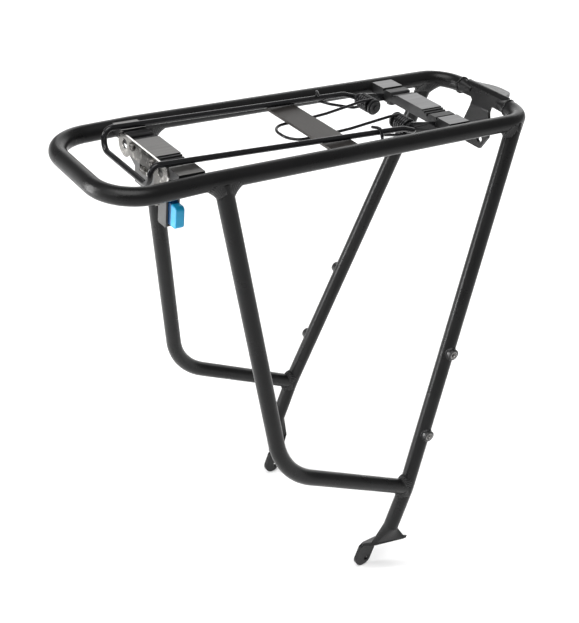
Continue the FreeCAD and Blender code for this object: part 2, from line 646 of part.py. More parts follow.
def spring_half_path():
    """Left half of the clamp spring: loop under the middle plate, leg, coil and hook."""
    wire = D["spring_wire"] / 2
    pivot_x, inner = D["pivot_x"], D["coil_start"]
    outer = inner + D["coil_pitch"] * D["coil_turns"]
    top, bottom = D["pivot_up"] + D["coil_mean"], D["pivot_up"] - D["coil_mean"]
    plate_front = D["plate_x"] + D["plate_wide"]
    loop_x = D["plate_x"] - D["loop_reach"]
    under = D["plate_up"] - wire - 0.1
    leg = rounded_path([
        on_deck(loop_x, 0, under - 1.5),
        on_deck(loop_x, inner - 2.6, under - 1.5),
        on_deck(plate_front - 6, inner - 1.6, under - 0.3),
        on_deck(plate_front + 16, inner - 1.1, under + 1.2),
        on_deck(pivot_x - 10, inner, top),
        on_deck(pivot_x, inner, top),
    ], [13.0, 60.0, 60.0, 40.0])

    share = (D["bail_knee_x"] - D["hook_x"]) / (D["bail_knee_x"] - D["bail_rear_x"])
    bail_up = D["bail_knee_up"] + (D["bail_rear_up"] - D["bail_knee_up"]) * share
    bail_half = D["bail_front_half"] - 0.3 + (D["bail_rear_half"] - D["bail_front_half"]) * share
    clear = D["wire_dia"] / 2 + wire + D["hook_clear"]
    hook_x = D["hook_x"]
    hook = rounded_path([
        on_deck(pivot_x, outer, bottom),
        on_deck(pivot_x - 8, outer, bottom),
        on_deck(hook_x + 8, bail_half - 4.0, bail_up - clear - 1.2),
        on_deck(hook_x + 1, bail_half + clear + 1.0, bail_up - clear - 0.2),
        on_deck(hook_x - 1, bail_half + clear - 0.4, bail_up + clear + 0.9),
        on_deck(hook_x - 4, bail_half - 3.0, bail_up + clear - 0.2),
    ], [14.0, 7.0, 2.6, 2.6])
    return Part.Wire(leg.Edges + coil_arcs() + hook.Edges)


def spring_shape():
    """The left half swept as one wire, joined to its mirror image at the middle plane."""
    path = spring_half_path()
    first = path.Edges[0]
    start = first.valueAt(first.FirstParameter)
    section = Part.Wire([Part.makeCircle(D["spring_wire"] / 2, start, Y_AXIS)])
    half = path.makePipeShell([section], True, False)
    return half.fuse(half.mirror(Vector(0, 0, 0), Y_AXIS))


node(feature("clamp_spring", spring_shape()), "clamp_spring")


# ---------------------------------------------------------------- lamp plate
def box(name, length, width, height, base):
    """A block whose sizes are expressions in the sheet's names."""
    item = doc.addObject("Part::Box", name)
    for size, expression in (("Length", length), ("Width", width), ("Height", height)):
        item.setExpression(size, expression)
    item.Placement.Base = base
    return item


def lamp_plate():
    """Bright steel plate across the rear extrusion's end, with an ear and a hole for the
    lamp at each side and a strap that reaches down behind the latch case."""
    rear = D["rear_profile_x"] - D["bracket_thick"]
    half = D["lamp_hole_half"]
    thick = "Dims.bracket_thick"
    waist = box("plate_waist", thick, "2 * Dims.lamp_hole_half", "Dims.bracket_up + Dims.bracket_waist_down",
                on_deck(rear, -half, -D["bracket_waist_down"]))
    strap = box("plate_strap", thick, "Dims.strap_wide", "Dims.strap_down - Dims.bracket_waist_down + 1",
                on_deck(rear, -D["strap_half"] - D["strap_wide"] / 2, -D["strap_down"]))
    strap_end = cylinder("plate_strap_end", "Dims.strap_wide / 2", thick,
                         on_deck(rear, -D["strap_half"], -D["strap_down"]), X_AXIS)
    ears = []
    drills = []
    for side in (1, -1):
        centre = on_deck(rear, side * half, D["lamp_hole_up"])
        ears.append(cylinder(f"plate_ear_{len(ears)}", "Dims.bracket_ear / 2", thick, centre, X_AXIS))
        drills.append(cylinder(f"plate_lamp_hole_{len(drills)}", "Dims.lamp_hole / 2", thick, centre, X_AXIS))
    above = box("plate_trim", "3 * Dims.bracket_thick", "4 * Dims.lamp_hole_half", "Dims.bracket_ear",
                on_deck(rear - D["bracket_thick"], -2 * half, D["bracket_up"]))
    blank = fuse("lamp_plate_blank", waist, strap, strap_end, *ears)
    return node(cut("lamp_plate_cut", blank, above, *drills, *screw_shanks), "lamp_plate")


lamp_plate()
node(fuse("plate_screws_joined", *screw_shanks, *screw_heads), "plate_screws")


# ---------------------------------------------------------------- latch
def latch_case():
    """Case under the rear extrusion: a long chamber and a lobe that guides the button."""
    body = new_body("case_body", x="Dims.case_rear_x", z="Dims.deck_z")
    outside = sketch_on(body, "case_outside", "YZ_Plane")
    shelf = "Dims.side_land - 13.5"
    add_outline(outside, [
        ("Dims.case_far", "-Dims.case_shoulder_down - 4"), (shelf, "-Dims.case_shoulder_down"),
        (shelf, "-Dims.profile_down"), ("Dims.case_near", "-Dims.profile_down"),
        ("Dims.case_near", "-Dims.case_lobe_down"), ("Dims.case_step", "-Dims.case_lobe_down"),
        ("Dims.case_step", "-Dims.case_down"), ("Dims.case_far", "-Dims.case_down"),
    ])
    blank = pad(body, outside, "Dims.case_length")
    body.Tip = round_edges(body, blank, 1.2, lambda e: runs_along(e, X_AXIS)
                           and e.CenterOfMass.z < -D["case_down"] + 1)
    return body


def case_cavity():
    body = new_body("cavity_body", x="Dims.case_rear_x + Dims.case_wall", z="Dims.deck_z")
    inside = sketch_on(body, "cavity_outline", "YZ_Plane")
    wall = "Dims.case_wall"
    top = "-Dims.case_roof"
    rib = "Dims.return_far"
    add_outline(inside, [
        (f"Dims.case_far - {wall}", top), ("Dims.case_near - 5", top),
        ("Dims.case_near - 5", f"-Dims.case_lobe_down + {wall}"),
        (f"Dims.case_step - {wall}", f"-Dims.case_lobe_down + {wall}"),
        (f"Dims.case_step - {wall}", f"-Dims.case_down + {wall}"),
        (rib, f"-Dims.case_down + {wall}"), (rib, "Dims.bar_up - 0.5"),
        (f"{rib} + {wall}", "Dims.bar_up - 0.5"), (f"{rib} + {wall}", f"-Dims.case_down + {wall}"),
        (f"Dims.case_far - {wall}", f"-Dims.case_down + {wall}"),
    ])
    body.Tip = pad(body, inside, "Dims.case_length - 2 * Dims.case_wall")
    return body


tooth_room = doc.addObject("Part::Box", "tooth_window")
tooth_room.setExpression("Length", "2 * Dims.case_wall")
tooth_room.setExpression("Width", "Dims.tooth_wide + Dims.button_travel + 1")
tooth_room.setExpression("Height", "Dims.tooth_tall + 0.8")
tooth_room.Placement.Base = on_deck(D["case_rear_x"] - D["case_wall"], D["tooth_near"] - 0.5, D["tooth_up"] - 0.4)
node(cut("latch_case", latch_case(), case_cavity(), tooth_room), "latch_case")


middle_x = D["case_rear_x"] + D["case_length"] / 2
bar_beam = box("latch_bar_beam", "Dims.bar_wide", "Dims.bar_far - Dims.button_in + 2.5", "Dims.bar_tall",
               on_deck(middle_x - D["bar_wide"] / 2, D["button_in"] - 2.5, D["bar_up"]))
bar_tooth = box("latch_bar_tooth", "Dims.case_length / 2 + Dims.tooth_reach", "Dims.tooth_wide", "Dims.tooth_tall",
                on_deck(D["case_rear_x"] - D["tooth_reach"], D["tooth_near"], D["tooth_up"]))
latch_bar = fuse("latch_bar_joined", bar_beam, bar_tooth)
node(latch_bar, "latch_bar")


def button_body():
    """Thumb button: a rounded block outside the case with a neck that guides it inside."""
    body = new_body("button_body", x=f"{middle_x}", z="Dims.deck_z")
    outline = sketch_on(body, "button_outline", "YZ_Plane")
    add_outline(outline, [
        ("Dims.button_out", "Dims.button_bottom"), ("Dims.button_in", "Dims.button_bottom"),
        ("Dims.button_in", "Dims.button_neck_top"), ("Dims.case_near + 0.5", "Dims.button_neck_top"),
        ("Dims.case_near + 0.5", "Dims.button_top"), ("Dims.button_out", "Dims.button_top"),
    ])
    block = pad(body, outline, "Dims.button_wide", symmetric=True)
    corners = round_edges(body, block, 3.2, lambda e: runs_along(e, X_AXIS)
                          and abs(e.CenterOfMass.y - D["button_out"]) < 0.1)
    body.Tip = round_edges(body, corners, 0.8, lambda e: e.CenterOfMass.y < D["case_near"] - 0.5
                           and abs(abs(e.CenterOfMass.x) - D["button_wide"] / 2) < 0.01)
    return body


node(cut("release_button", button_body(), bar_beam), "release_button")


def return_spring():
    """Light compression spring between the button's neck and the case's rib."""
    length = D["return_far"] - D["button_in"] - D["return_wire"]
    helix = Part.makeHelix(length / 7, length, D["return_mean"])
    section = Part.Wire([Part.makeCircle(D["return_wire"] / 2, Vector(D["return_mean"], 0, 0), Y_AXIS)])
    coil = Part.Wire(helix.Edges).makePipeShell([section], True, True)
    item = feature("return_spring", coil)
    start = on_deck(middle_x, D["button_in"] + D["return_wire"] / 2 + 0.05, D["return_up"])
    item.Placement = Placement(start, Rotation(Z_AXIS, Y_AXIS))
    return item


node(return_spring(), "return_spring")


# ---------------------------------------------------------------- check and write
doc.recompute()
for item in doc.Objects:
    if "Invalid" in item.State or "Error" in item.State:
        raise RuntimeError(f"{item.Label} failed: {item.State}")
for item in NODES:
    shape = item.Shape
    if shape.isNull() or not shape.isValid() or not shape.Solids:
        raise RuntimeError(f"{item.Label} has no valid solid")
    shape.exportStep(f"parts/{item.Label}.step")
    box_size = shape.BoundBox
    print(f"{item.Label:24s} solids {len(shape.Solids)}  volume {shape.Volume / 1000:8.2f} cm3  "
          f"x {box_size.XMin:7.1f} {box_size.XMax:7.1f}  y {box_size.YMin:6.1f} {box_size.YMax:6.1f}  "
          f"z {box_size.ZMin:6.1f} {box_size.ZMax:6.1f}")
print(len(NODES), "nodes")
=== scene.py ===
import math

import bpy
import numpy as np
from mathutils import Matrix, Vector


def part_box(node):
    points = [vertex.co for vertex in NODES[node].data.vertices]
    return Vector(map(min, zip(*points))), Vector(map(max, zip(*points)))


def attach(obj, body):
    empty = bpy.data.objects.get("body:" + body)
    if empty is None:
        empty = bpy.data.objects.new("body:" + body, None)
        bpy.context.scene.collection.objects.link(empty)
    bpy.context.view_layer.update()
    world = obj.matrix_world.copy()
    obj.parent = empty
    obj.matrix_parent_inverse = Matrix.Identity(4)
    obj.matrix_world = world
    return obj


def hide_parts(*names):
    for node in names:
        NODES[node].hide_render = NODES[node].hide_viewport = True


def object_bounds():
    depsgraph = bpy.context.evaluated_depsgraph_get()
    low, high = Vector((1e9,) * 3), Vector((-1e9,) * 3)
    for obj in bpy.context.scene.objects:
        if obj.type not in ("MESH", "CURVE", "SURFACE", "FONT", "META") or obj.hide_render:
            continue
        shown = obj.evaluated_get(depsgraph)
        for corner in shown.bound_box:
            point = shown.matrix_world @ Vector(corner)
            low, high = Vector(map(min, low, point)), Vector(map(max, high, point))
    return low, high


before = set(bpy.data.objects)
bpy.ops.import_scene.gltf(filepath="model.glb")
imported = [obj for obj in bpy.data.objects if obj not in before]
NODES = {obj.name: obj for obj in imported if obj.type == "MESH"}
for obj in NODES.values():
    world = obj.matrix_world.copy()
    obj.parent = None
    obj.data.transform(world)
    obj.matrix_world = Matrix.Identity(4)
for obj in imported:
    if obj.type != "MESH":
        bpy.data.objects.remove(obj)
CAD_LOW, CAD_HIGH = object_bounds()
MM = 0.001

# ---------------------------------------------------------------- sizes, in millimetres
TUBE_R = 6.5
DECK_Z = 401.3
DECK_HALF = 53.65
DECK_END_HALF = 28.2
FRONT_X, FRONT_BEND = 122.4, 25.0
UPRIGHT_TOP = (-166.9, 53.65, DECK_Z)
RAIL_CORNER = (-113.5, 85.6, 149.4)
LEG_TOP = (105.7, 53.65, DECK_Z)
KNEE = (21.4, 90.3, 85.7)
SHANK_END = (10.33, 91.0, 45.57)
BOSS_HEIGHTS = (211.4, 138.0)
BOSS_R = 5.0
BOSS_BORE_R = 2.1
BOSS_REACH = 9.0
THREAD_PITCH, THREAD_TURNS, THREAD_TOOTH_R = 0.8, 7, 0.26
MOUTH_DEEP, MOUTH_PROUD, MOUTH_R, MOUTH_RIM_R = 2.5, 0.06, 2.9, 3.3
WIRE_R = 2.15
SPRING_R = 1.15
COIL_MEAN = 5.2
COIL_START = 17.1
COIL_PITCH = 2.36
COIL_TURNS = 5.5
PIVOT_X, PIVOT_UP = 15.0, 0.5
HOOK_BACK, WIRE_RUN = 24.0, 212.0
WIRE_UP_FRONT, WIRE_UP_TAIL = 4.4, 9.2
WIRE_HALF_FRONT, WIRE_NARROWS = 38.1, 4.4
PLATE_X, PLATE_WIDE = -71.0, 24.4
SCREW_HALF, SCREW_UP = 14.5, 1.5
PROFILE_UP = 6.0
# Where the painted shade on the release button begins, along Y.
BUTTON_SHADE_EDGE = -36.6


def on_deck(x, y, up):
    return Vector((x, y, DECK_Z + up))


def on_side(point, side):
    """The point on the left side of the rack for side 1, on the right side for -1."""
    return Vector((point[0], point[1] * side, point[2]))


# ---------------------------------------------------------------- node helpers
class Tree:
    """A material's node tree, with short calls for the nodes used here."""

    def __init__(self, name):
        self.material = bpy.data.materials.new(name)
        self.material.use_nodes = True
        self.nodes = self.material.node_tree.nodes
        self.links = self.material.node_tree.links
        self.nodes.clear()
        self.out = self.nodes.new("ShaderNodeOutputMaterial")
        self.shader = self.nodes.new("ShaderNodeBsdfPrincipled")
        self.links.new(self.shader.outputs[0], self.out.inputs["Surface"])
        self.where = self.nodes.new("ShaderNodeTexCoord").outputs["Object"]

    def wire(self, source, node, socket):
        self.links.new(source, node.inputs[socket])

    def stretch(self, scale):
        """Object coordinates scaled by a different amount along each axis."""
        node = self.nodes.new("ShaderNodeMapping")
        node.inputs["Scale"].default_value = scale
        self.wire(self.where, node, "Vector")
        return node.outputs[0]

    def noise(self, scale, detail=4.0, rough=0.55, vector=None):
        node = self.nodes.new("ShaderNodeTexNoise")
        node.inputs["Scale"].default_value = scale
        node.inputs["Detail"].default_value = detail
        node.inputs["Roughness"].default_value = rough
        self.wire(vector or self.where, node, "Vector")
        return node.outputs["Fac"]

    def cells(self, scale, vector=None):
        node = self.nodes.new("ShaderNodeTexVoronoi")
        node.inputs["Scale"].default_value = scale
        self.wire(vector or self.where, node, "Vector")
        return node.outputs["Distance"]

    def ramp(self, value, low, high, to_low=0.0, to_high=1.0):
        node = self.nodes.new("ShaderNodeMapRange")
        node.inputs["From Min"].default_value = low
        node.inputs["From Max"].default_value = high
        node.inputs["To Min"].default_value = to_low
        node.inputs["To Max"].default_value = to_high
        self.wire(value, node, "Value")
        return node.outputs[0]

    def maths(self, kind, first, second):
        node = self.nodes.new("ShaderNodeMath")
        node.operation = kind
        for slot, value in enumerate((first, second)):
            if isinstance(value, (int, float)):
                node.inputs[slot].default_value = value
            else:
                self.links.new(value, node.inputs[slot])
        return node.outputs[0]

    def mix(self, share, first, second):
        """Colour mixed by share; first and second are colours or sockets."""
        node = self.nodes.new("ShaderNodeMix")
        node.data_type = "RGBA"
        self.wire(share, node, "Factor")
        for slot, value in ((6, first), (7, second)):
            if isinstance(value, (tuple, list)):
                node.inputs[slot].default_value = (*value, 1.0)
            else:
                self.links.new(value, node.inputs[slot])
        return node.outputs[2]

    def axis(self, letter, source=None):
        node = self.nodes.new("ShaderNodeSeparateXYZ")
        self.links.new(source or self.where, node.inputs[0])
        return node.outputs[letter]

    def facing(self, letter):
        """One component of the surface's own normal."""
        geometry = self.nodes.new("ShaderNodeNewGeometry")
        return self.axis(letter, geometry.outputs["True Normal"])

    def bump(self, height, strength, distance):
        node = self.nodes.new("ShaderNodeBump")
        node.inputs["Strength"].default_value = strength
        node.inputs["Distance"].default_value = distance
        self.wire(height, node, "Height")
        self.wire(node.outputs[0], self.shader, "Normal")

    def set(self, **values):
        for name, value in values.items():
            socket = self.shader.inputs[name.replace("_", " ")]
            if isinstance(value, bpy.types.NodeSocket):
                self.links.new(value, socket)
            elif isinstance(value, tuple):
                socket.default_value = (*value, 1.0)
            else:
                socket.default_value = value


def tinted(colour, factor):
    return tuple(min(1.0, c * factor) for c in colour)


# ---------------------------------------------------------------- materials
def powder_coat():
    """Satin black powder coat: fine orange peel, faint patches of gloss and a little dust."""
    t = Tree("satin_powder_coat")
    base = (0.006, 0.006, 0.0062)
    patches = t.noise(26.0, 3.0)
    grain = t.noise(2600.0, 2.0)
    tone = t.mix(t.ramp(patches, 0.35, 0.7), tinted(base, 0.82), tinted(base, 1.25))
    dust = t.ramp(t.noise(900.0, 1.0), 0.7, 0.82, 0.0, 0.3)
    t.set(Base_Color=t.mix(dust, tone, (0.03, 0.03, 0.03)),
          Roughness=t.ramp(t.noise(60.0, 5.0), 0.3, 0.7, 0.25, 0.36),
          Specular_IOR_Level=0.21)
    t.bump(t.maths("ADD", grain, t.maths("MULTIPLY", t.noise(700.0, 2.0), 1.4)), 0.22, 0.00025)
    return t.material


def weld_coat():
    """The same coat where it pools over a weld: glossier, with soft waves."""
    t = Tree("coated_weld")
    t.set(Base_Color=t.mix(t.noise(120.0), (0.006, 0.006, 0.0062), (0.011, 0.011, 0.0115)),
          Roughness=t.ramp(t.noise(240.0, 3.0), 0.3, 0.7, 0.2, 0.3),
          Specular_IOR_Level=0.27)
    t.bump(t.noise(900.0, 3.0), 0.25, 0.0003)
    return t.material


def wire_coat():
    """Gloss black dip coat on spring wire, with faint draw lines."""
    t = Tree("gloss_wire_coat")
    t.set(Base_Color=t.mix(t.noise(180.0), (0.005, 0.005, 0.0055), (0.012, 0.012, 0.013)),
          Roughness=t.ramp(t.noise(320.0, 4.0), 0.3, 0.7, 0.12, 0.24),
          Specular_IOR_Level=0.28)
    t.bump(t.noise(1600.0, 3.0), 0.12, 0.0002)
    return t.material


def extrusion(name, land_tone):
    """Dark anodised extrusion: its flat top lands are brighter and drawn, the rest is black."""
    t = Tree(name)
    black = t.mix(t.noise(90.0), (0.007, 0.007, 0.0072), (0.014, 0.014, 0.0145))
    streaks = t.noise(420.0, 5.0, 0.7, t.stretch((0.05, 1.0, 1.0)))
    scratches = t.noise(900.0, 3.0, 0.6, t.stretch((0.02, 1.0, 1.0)))
    land = t.mix(t.ramp(streaks, 0.3, 0.7), tinted(land_tone, 0.86), tinted(land_tone, 1.14))
    top = (DECK_Z + PROFILE_UP) * MM
    at_top = t.ramp(t.axis("Z"), top - 0.00025, top - 0.0001)
    flat = t.maths("MULTIPLY", at_top, t.ramp(t.facing("Z"), 0.9, 0.97))
    rough = t.maths("ADD", t.ramp(flat, 0.0, 1.0, 0.4, 0.34), t.ramp(scratches, 0.3, 0.7, -0.05, 0.07))
    t.set(Base_Color=t.mix(flat, black, land), Roughness=rough,
          Metallic=t.maths("MULTIPLY", flat, 0.75), Specular_IOR_Level=0.3)
    t.bump(t.maths("ADD", scratches, streaks), 0.12, 0.0002)
    return t.material


def plate_finish():
    """Dark anodised sheet brushed across the rack, a shade warmer than the extrusions."""
    t = Tree("brushed_dark_sheet")
    brush = t.noise(700.0, 6.0, 0.75, t.stretch((1.0, 0.02, 1.0)))
    cloud = t.noise(45.0, 3.0)
    tone = t.mix(t.ramp(brush, 0.3, 0.7), (0.035, 0.032, 0.030), (0.062, 0.058, 0.054))
    t.set(Base_Color=t.mix(t.ramp(cloud, 0.35, 0.7, 0.0, 0.5), tone, (0.04, 0.036, 0.034)),
          Metallic=0.6, Specular_IOR_Level=0.3, Roughness=t.ramp(brush, 0.25, 0.75, 0.4, 0.55))
    t.bump(brush, 0.2, 0.00025)
    return t.material


def bright_zinc():
    """Bright plated steel. Sheared edges catch the light; the faces carry a painted reflection, dark with
    painted highlights on either side of the middle, mottled by cloudy plating.
    """
    t = Tree("bright_zinc_painted_reflection")
    cloud = t.noise(210.0, 5.0, 0.65)
    grain = t.noise(900.0, 5.0, 0.7, t.stretch((1.0, 0.08, 1.0)))
    edge = (0.80, 0.79, 0.76)
    # Painted highlights: lighter patches in the face's painted reflection, on either side of the middle.
    left_painted_highlight = t.ramp(t.axis("Y"), 0.0, 0.022, 0.0, 0.5)
    right_painted_highlight = t.ramp(t.axis("Y"), -0.012, -0.03, 0.0, 0.3)
    painted_highlights = t.maths("ADD", left_painted_highlight, right_painted_highlight)
    shade = t.maths("ADD", t.ramp(cloud, 0.5, 0.72, 0.0, 0.6), painted_highlights)
    # Painted reflection: the dark face colour stands for a dark reflection, and the lighter colour is the
    # painted highlight.
    painted_reflection_face = t.mix(shade, (0.022, 0.02, 0.017), (0.36, 0.35, 0.33))
    turned = t.maths("ABSOLUTE", t.facing("X"), 0.0)
    rough = t.maths("ADD", t.ramp(grain, 0.3, 0.7, 0.12, 0.24), t.ramp(cloud, 0.4, 0.65, 0.0, 0.14))
    t.set(Base_Color=t.mix(t.ramp(turned, 0.75, 0.97), edge, painted_reflection_face), Metallic=1.0, Roughness=rough)
    t.bump(t.maths("ADD", grain, cloud), 0.2, 0.0003)
    return t.material


def moulded(name, colour, rough, gloss):
    """Moulded plastic: fine spark-eroded grain, slow change of gloss and sink marks."""
    t = Tree(name)
    grain = t.cells(2200.0)
    slow = t.noise(110.0, 3.0)
    t.set(Base_Color=t.mix(t.ramp(slow, 0.35, 0.65), tinted(colour, 0.9), tinted(colour, 1.1)),
          Roughness=t.ramp(slow, 0.3, 0.7, rough - 0.05, rough + 0.06),
          Specular_IOR_Level=gloss)
    t.bump(t.maths("ADD", t.maths("MULTIPLY", grain, 0.6), t.noise(300.0, 2.0)), 0.12, 0.0002)
    return t.material


def button_finish():
    """Blue thumb pad, with painted shade: the band between the pad and the case is a much darker blue."""
    t = Tree("blue_acetal_painted_shade")
    slow = t.noise(110.0, 3.0)
    pad = t.mix(t.ramp(slow, 0.35, 0.65), (0.0036, 0.27, 0.49), (0.0044, 0.33, 0.59))
    # Painted shade: this mask darkens the button's band nearest the case to a deep navy.
    neck_shade = t.ramp(t.axis("Y"), (BUTTON_SHADE_EDGE - 0.4) * MM, (BUTTON_SHADE_EDGE + 0.4) * MM)
    t.set(Base_Color=t.mix(neck_shade, pad, (0.002, 0.04, 0.12)), Specular_IOR_Level=0.45,
          Roughness=t.ramp(slow, 0.3, 0.7, 0.25, 0.36))
    t.bump(t.maths("ADD", t.maths("MULTIPLY", t.cells(2200.0), 0.6), t.noise(300.0, 2.0)), 0.12, 0.0002)
    return t.material


def dull_steel():
    """Dark phosphated screw steel, a little worn where a driver has turned it."""
    t = Tree("dull_screw_steel")
    wear = t.noise(700.0, 4.0, 0.6)
    t.set(Base_Color=t.mix(t.ramp(wear, 0.45, 0.7), (0.05, 0.048, 0.045), (0.2, 0.19, 0.18)), Metallic=0.9,
          Roughness=t.ramp(wear, 0.3, 0.7, 0.25, 0.45))
    t.bump(t.noise(1500.0, 3.0), 0.15, 0.0002)
    return t.material


def boss_finish():
    """Powder coat on the turned bosses, a little finer than on the tubes."""
    t = Tree("boss_coat_and_thread")
    coat = t.mix(t.noise(150.0), (0.007, 0.007, 0.0072), (0.014, 0.014, 0.0145))
    t.set(Base_Color=coat, Specular_IOR_Level=0.4,
          Roughness=t.ramp(t.noise(500.0, 4.0), 0.3, 0.7, 0.26, 0.38))
    t.bump(t.noise(1500.0, 2.0), 0.2, 0.0002)
    return t.material


def bare_thread():
    """Bare cut aluminium in the mouth and the thread of a boss."""
    t = Tree("bare_thread")
    t.set(Base_Color=t.mix(t.noise(900.0), (0.30, 0.29, 0.28), (0.52, 0.51, 0.5)), Metallic=1.0,
          Roughness=t.ramp(t.noise(1400.0, 3.0), 0.3, 0.7, 0.3, 0.5))
    t.bump(t.noise(2600.0, 2.0), 0.15, 0.0001)
    return t.material


COAT = powder_coat()
WELD = weld_coat()
WIRE = wire_coat()
FRONT_BAR = extrusion("front_extrusion", (0.135, 0.135, 0.137))
REAR_BAR = extrusion("rear_extrusion", (0.115, 0.112, 0.108))
SHEET = plate_finish()
ZINC = bright_zinc()
SCREW = dull_steel()
BOSS = boss_finish()
THREAD = bare_thread()
BLACK_NYLON = moulded("black_nylon", (0.009, 0.009, 0.0095), 0.4, 0.35)
GREY_NYLON = moulded("grey_nylon", (0.06, 0.06, 0.059), 0.5, 0.35)
BLUE = button_finish()

FINISHES = {
    "deck_loop": COAT, "front_bridge": COAT,
    "leg_left": COAT, "leg_right": COAT, "side_tube_left": COAT, "side_tube_right": COAT,
    "foot_left": COAT, "foot_right": COAT,
    "high_boss_left": BOSS, "high_boss_right": BOSS, "low_boss_left": BOSS, "low_boss_right": BOSS,
    "front_cross_profile": FRONT_BAR, "rear_cross_profile": REAR_BAR, "middle_cross_plate": SHEET,
    "clamp_bail": WIRE, "hinge_lug_left": WIRE, "hinge_lug_right": WIRE,
    "spring_bush_left": BLACK_NYLON, "spring_bush_right": BLACK_NYLON,
    "wire_end_cap_left": BLACK_NYLON, "wire_end_cap_right": BLACK_NYLON,
    "lug_rivets_left": WIRE, "lug_rivets_right": WIRE,
    "lamp_plate": ZINC, "plate_screws": SCREW, "latch_bar": ZINC, "return_spring": ZINC,
    "latch_case": GREY_NYLON, "release_button": BLUE,
}
for node_name, node_finish in FINISHES.items():
    node_mesh = NODES[node_name].data
    node_mesh.materials.clear()
    node_mesh.materials.append(node_finish)

# Edges that a press, a mould or a deburring wheel would have eased, in millimetres.
EASED = {
    "front_cross_profile": 0.22, "rear_cross_profile": 0.22, "middle_cross_plate": 0.35,
    "front_bridge": 0.5, "foot_left": 0.45, "foot_right": 0.45, "lamp_plate": 0.3,
    "latch_case": 0.4, "latch_bar": 0.25, "hinge_lug_left": 0.35, "hinge_lug_right": 0.35,
    "high_boss_left": 0.6, "high_boss_right": 0.6, "low_boss_left": 0.6, "low_boss_right": 0.6,
    "release_button": 0.9, "spring_bush_left": 0.3, "spring_bush_right": 0.3,
    "wire_end_cap_left": 0.4, "wire_end_cap_right": 0.4,
}


def ease_edges(obj, width):
    """Joins the faces of a node, then rounds its sharp edges."""
    weld = obj.modifiers.new("join_faces", "WELD")
    weld.merge_threshold = 0.00001
    bevel = obj.modifiers.new("eased_edges", "BEVEL")
    bevel.width = width * MM
    bevel.segments = 2
    bevel.limit_method = "ANGLE"
    bevel.angle_limit = math.radians(38)
    bevel.use_clamp_overlap = True
    bevel.harden_normals = False


for node_name, ease_width in EASED.items():
    ease_edges(NODES[node_name], ease_width)


# ---------------------------------------------------------------- mesh helpers
DOME_HEIGHT = 0.6


def new_piece(name, points, faces, finish, body, smooth=True):
    """A mesh from points in millimetres, riding on a body."""
    mesh = bpy.data.meshes.new(name)
    mesh.from_pydata([tuple(c * MM for c in p) for p in points], [], faces)
    mesh.validate()
    mesh.update()
    mesh.shade_smooth() if smooth else mesh.shade_flat()
    mesh.materials.append(finish)
    obj = bpy.data.objects.new(name, mesh)
    bpy.context.scene.collection.objects.link(obj)
    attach(obj, body)
    return obj


def grid_faces(rows, columns, wrap_rows, wrap_columns):
    """Quads over a grid of points held row by row."""
    faces = []
    for r in range(rows if wrap_rows else rows - 1):
        for c in range(columns if wrap_columns else columns - 1):
            r2, c2 = (r + 1) % rows, (c + 1) % columns
            faces.append((r * columns + c, r2 * columns + c, r2 * columns + c2, r * columns + c2))
    return faces


def rounded_line(points, radii, step=0.6):
    """Points along straight runs joined by arcs, one radius for each inner corner."""
    points = [Vector(p) for p in points]
    line = [points[0]]
    for before, corner, after, radius in zip(points, points[1:], points[2:], radii):
        back = (before - corner).normalized()
        ahead = (after - corner).normalized()
        half_angle = back.angle(ahead) / 2
        setback = radius / math.tan(half_angle)
        centre = corner + (back + ahead).normalized() * (radius / math.sin(half_angle))
        first = corner + back * setback - centre
        last = corner + ahead * setback - centre
        turn = first.angle(last)
        count = max(2, int(radius * turn / step))
        for i in range(count + 1):
            share = i / count
            spoke = (first * math.sin((1 - share) * turn) + last * math.sin(share * turn)) / math.sin(turn)
            line.append(centre + spoke)
    line.append(points[-1])
    return line


def tube_mesh(line, radius, sides=20, domed=True):
    """Ring by ring along the line, with the frame carried without twist and domed ends."""
    tangents = []
    for i in range(len(line)):
        tangents.append((line[min(i + 1, len(line) - 1)] - line[max(i - 1, 0)]).normalized())
    side = tangents[0].orthogonal().normalized()
    stations = []
    lifts = (0.98, 0.9, 0.7, 0.38) if domed else ()
    for lift in lifts:
        tip = line[0] - tangents[0] * radius * lift * DOME_HEIGHT
        stations.append((tip, tangents[0], math.sqrt(1 - lift ** 2)))
    stations += [(p, t, 1.0) for p, t in zip(line, tangents)]
    for lift in reversed(lifts):
        tip = line[-1] + tangents[-1] * radius * lift * DOME_HEIGHT
        stations.append((tip, tangents[-1], math.sqrt(1 - lift ** 2)))
    points = []
    for centre, tangent, share in stations:
        side = (side - tangent * side.dot(tangent)).normalized()
        other = tangent.cross(side)
        for k in range(sides):
            a = 2 * math.pi * k / sides
            points.append(centre + (side * math.cos(a) + other * math.sin(a)) * radius * share)
    faces = grid_faces(len(stations), sides, False, True)
    faces.append(tuple(range(sides)))
    faces.append(tuple((len(stations) - 1) * sides + k for k in reversed(range(sides))))
    return points, faces


def lathe(name, outline, centre, axis, finish, body, sides=40, ring=False):
    """outline is (distance along the axis, radius) pairs, turned round the axis. A ring has no ends."""
    axis = Vector(axis).normalized()
    side = axis.orthogonal().normalized()
    other = axis.cross(side)
    points = []
    for along, radius in outline:
        for k in range(sides):
            a = 2 * math.pi * k / sides
            points.append(Vector(centre) + axis * along + (side * math.cos(a) + other * math.sin(a)) * radius)
    faces = grid_faces(len(outline), sides, ring, True)
    if not ring:
        faces.append(tuple(range(sides)))
        faces.append(tuple((len(outline) - 1) * sides + k for k in reversed(range(sides))))
    return new_piece(name, points, faces, finish, body)


# ---------------------------------------------------------------- welds
def deck_line():
    """Centreline of the deck tube's straight side and front bend on the left side."""
    half = rounded_line([(FRONT_X, DECK_END_HALF, DECK_Z), (FRONT_X, DECK_HALF, DECK_Z),
                         (-200.0, DECK_HALF, DECK_Z)], [FRONT_BEND])
    dense = []
    for a, b in zip(half, half[1:]):
        count = max(1, int((b - a).length / 0.5))
        dense += [a.lerp(b, i / count) for i in range(count)]
    return dense


def straight_line(a, b):
    a, b = Vector(a), Vector(b)
    count = int((b - a).length / 0.5)
    return [a.lerp(b, i / count) for i in range(count + 1)]


